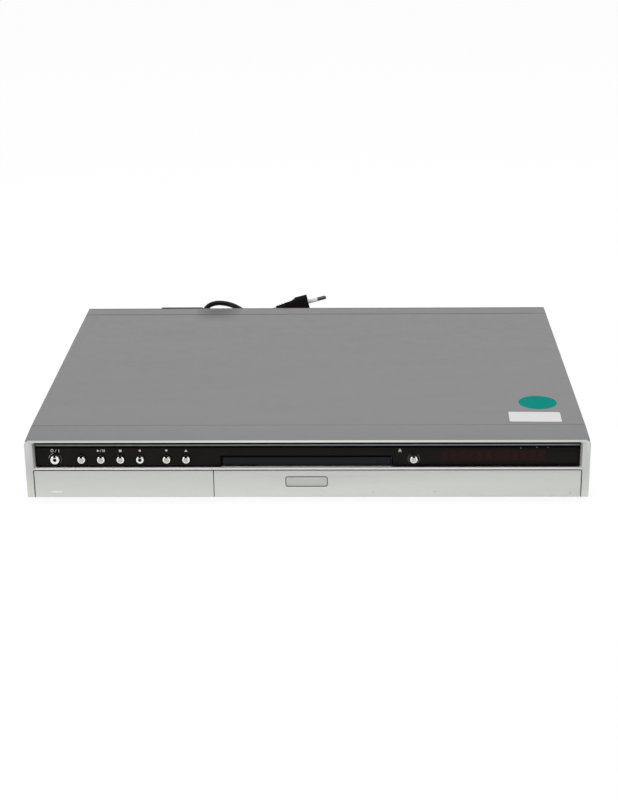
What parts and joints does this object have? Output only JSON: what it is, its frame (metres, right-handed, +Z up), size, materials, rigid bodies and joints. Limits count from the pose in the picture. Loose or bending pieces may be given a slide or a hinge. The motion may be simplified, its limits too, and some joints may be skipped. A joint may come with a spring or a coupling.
{
  "type": "dvd recorder",
  "caption": "Slim disc recorder with a motor-driven tray, front buttons, a flip-down door over front sockets, a hard drive inside and a coiled mains cord with its plug behind.",
  "frame": {"origin": "on the surface that the unit stands on, under the middle of its width and of its depth, the cord and plug left out of the depth", "axes": "+X to the right as seen from the front, +Y towards the back, +Z up"},
  "size_m": [0.43, 0.4694, 0.054],
  "materials": {
    "foot_plastic": "fine grain",
    "zinc_steel": "zinc plated",
    "cover_paint": "satin powder coat",
    "black_steel": "satin",
    "fascia_plastic": "satin lacquer",
    "silver_plastic": "satin metallic lacquer",
    "smoked_plastic": "polished smoke",
    "button_plastic": "polished metallic",
    "brown_board": "paper laminate",
    "green_board": "solder mask",
    "black_plastic": "moulded",
    "tray_plastic": "fine grain",
    "white_plastic": "moulded",
    "bright_steel": "bright",
    "belt_rubber": "matt",
    "screw_brass": "turned",
    "cast_aluminium": "cast and machined",
    "chrome_wire": "bright",
    "cord_plastic": "soft sheen",
    "plug_plastic": "moulded",
    "pin_metal": "nickel plated"
  },
  "bodies": {
    "case": {"foot_front_left": "foot_plastic", "foot_front_right": "foot_plastic", "foot_rear_left": "foot_plastic", "foot_rear_right": "foot_plastic", "base_chassis": "zinc_steel", "top_cover": "cover_paint", "rear_panel": "black_steel", "front_fascia": "fascia_plastic", "front_frame": "silver_plastic", "window_strip": "smoked_plastic", "front_board": "brown_board", "display_module": "black_plastic", "lower_panel": "silver_plastic", "badge_plate": "silver_plastic", "input_socket_panel": "black_plastic", "loader_frame": "white_plastic", "loading_motor": "bright_steel", "drive_belt": "belt_rubber", "clamp_bridge": "zinc_steel", "hard_drive": "cast_aluminium", "hard_drive_bracket": "zinc_steel", "power_board": "brown_board", "heat_sink": "cast_aluminium", "main_board": "green_board", "scart_socket_one": "black_plastic", "scart_socket_two": "black_plastic", "jack_block": "black_plastic", "aerial_tuner": "bright_steel", "fan_housing": "black_plastic", "fan_guard": "chrome_wire", "cord_gland": "cord_plastic", "cord_lead": "cord_plastic", "cord_coil": "cord_plastic", "cord_tail": "cord_plastic", "cord_tie": "black_plastic", "plug_body": "plug_plastic", "plug_pin_near": "pin_metal", "plug_pin_far": "pin_metal"},
    "tray": {"disc_tray": "tray_plastic", "tray_door": "smoked_plastic"},
    "gear": {"drive_gear": "white_plastic"},
    "pulley": {"motor_pulley": "white_plastic"},
    "traverse": {"traverse_frame": "zinc_steel", "guide_rod": "bright_steel", "sled_motor": "black_plastic", "spindle_motor": "bright_steel"},
    "spindle": {"turntable": "black_plastic"},
    "pickup": {"optical_pickup": "black_plastic"},
    "screw": {"lead_screw": "screw_brass"},
    "puck": {"clamp_puck": "white_plastic"},
    "door": {"input_door": "silver_plastic"},
    "rotor": {"fan_rotor": "black_plastic"},
    "power_key": {"power_button": "button_plastic"},
    "source_key": {"source_button": "button_plastic"},
    "play_key": {"play_button": "button_plastic"},
    "stop_key": {"stop_button": "button_plastic"},
    "record_key": {"record_button": "button_plastic"},
    "channel_down_key": {"channel_down_button": "button_plastic"},
    "channel_up_key": {"channel_up_button": "button_plastic"},
    "open_close_key": {"open_close_button": "button_plastic"}
  },
  "joints": [
    {"name": "tray_slide", "type": "slide", "parent": "case", "child": "tray", "axis": [0, -1, 0], "range_m": [0, 0.14]},
    {"name": "drive_gear_spin", "type": "hinge", "parent": "case", "child": "gear", "pos_m": [-0.0465, -0.143, 0.0257], "axis": [0, 0, 1], "range_deg": [0, 803]},
    {"name": "motor_pulley_spin", "type": "hinge", "parent": "case", "child": "pulley", "pos_m": [-0.0085, -0.143, 0.0255], "axis": [0, 0, 1], "range_deg": [0, 2598]},
    {"name": "traverse_tilt", "type": "hinge", "parent": "case", "child": "traverse", "pos_m": [0, 0.007, 0.016], "axis": [1, 0, 0], "range_deg": [0, 3.5]},
    {"name": "turntable_spin", "type": "hinge", "parent": "traverse", "child": "spindle", "pos_m": [0, -0.0989, 0.033], "axis": [0, 0, 1], "continuous": true},
    {"name": "pickup_slide", "type": "slide", "parent": "traverse", "child": "pickup", "axis": [0, 1, 0], "range_m": [0, 0.034]},
    {"name": "lead_screw_spin", "type": "hinge", "parent": "traverse", "child": "screw", "pos_m": [0.03, -0.048, 0.0246], "axis": [0, 1, 0], "range_deg": [0, 4085]},
    {"name": "clamp_spin", "type": "hinge", "parent": "case", "child": "puck", "pos_m": [0, -0.0989, 0.0456], "axis": [0, 0, 1], "continuous": true},
    {"name": "input_door_hinge", "type": "hinge", "parent": "case", "child": "door", "pos_m": [-0.14, -0.17, 0.0086], "axis": [1, 0, 0], "range_deg": [0, 90]},
    {"name": "fan_spin", "type": "hinge", "parent": "case", "child": "rotor", "pos_m": [-0.1267, 0.1667, 0.032], "axis": [0, 1, 0], "continuous": true},
    {"name": "power_press", "type": "slide", "parent": "case", "child": "power_key", "axis": [0, 1, 0], "range_m": [0, 0.0007], "stiffness_N_per_m": 1200},
    {"name": "source_press", "type": "slide", "parent": "case", "child": "source_key", "axis": [0, 1, 0], "range_m": [0, 0.0007], "stiffness_N_per_m": 1200},
    {"name": "play_press", "type": "slide", "parent": "case", "child": "play_key", "axis": [0, 1, 0], "range_m": [0, 0.0007], "stiffness_N_per_m": 1200},
    {"name": "stop_press", "type": "slide", "parent": "case", "child": "stop_key", "axis": [0, 1, 0], "range_m": [0, 0.0007], "stiffness_N_per_m": 1200},
    {"name": "record_press", "type": "slide", "parent": "case", "child": "record_key", "axis": [0, 1, 0], "range_m": [0, 0.0007], "stiffness_N_per_m": 1200},
    {"name": "channel_down_press", "type": "slide", "parent": "case", "child": "channel_down_key", "axis": [0, 1, 0], "range_m": [0, 0.0007], "stiffness_N_per_m": 1200},
    {"name": "channel_up_press", "type": "slide", "parent": "case", "child": "channel_up_key", "axis": [0, 1, 0], "range_m": [0, 0.0007], "stiffness_N_per_m": 1200},
    {"name": "open_close_press", "type": "slide", "parent": "case", "child": "open_close_key", "axis": [0, 1, 0], "range_m": [0, 0.0007], "stiffness_N_per_m": 1200}
  ],
  "couplings": [
    {"joint": "drive_gear_spin", "follows": "tray_slide", "rad_per_m": 100},
    {"joint": "motor_pulley_spin", "follows": "tray_slide", "rad_per_m": 323.7},
    {"joint": "traverse_tilt", "follows": "tray_slide", "rad_per_m": 0.436},
    {"joint": "lead_screw_spin", "follows": "pickup_slide", "rad_per_m": 2094.4},
    {"joint": "clamp_spin", "follows": "turntable_spin", "ratio": 1}
  ]
}
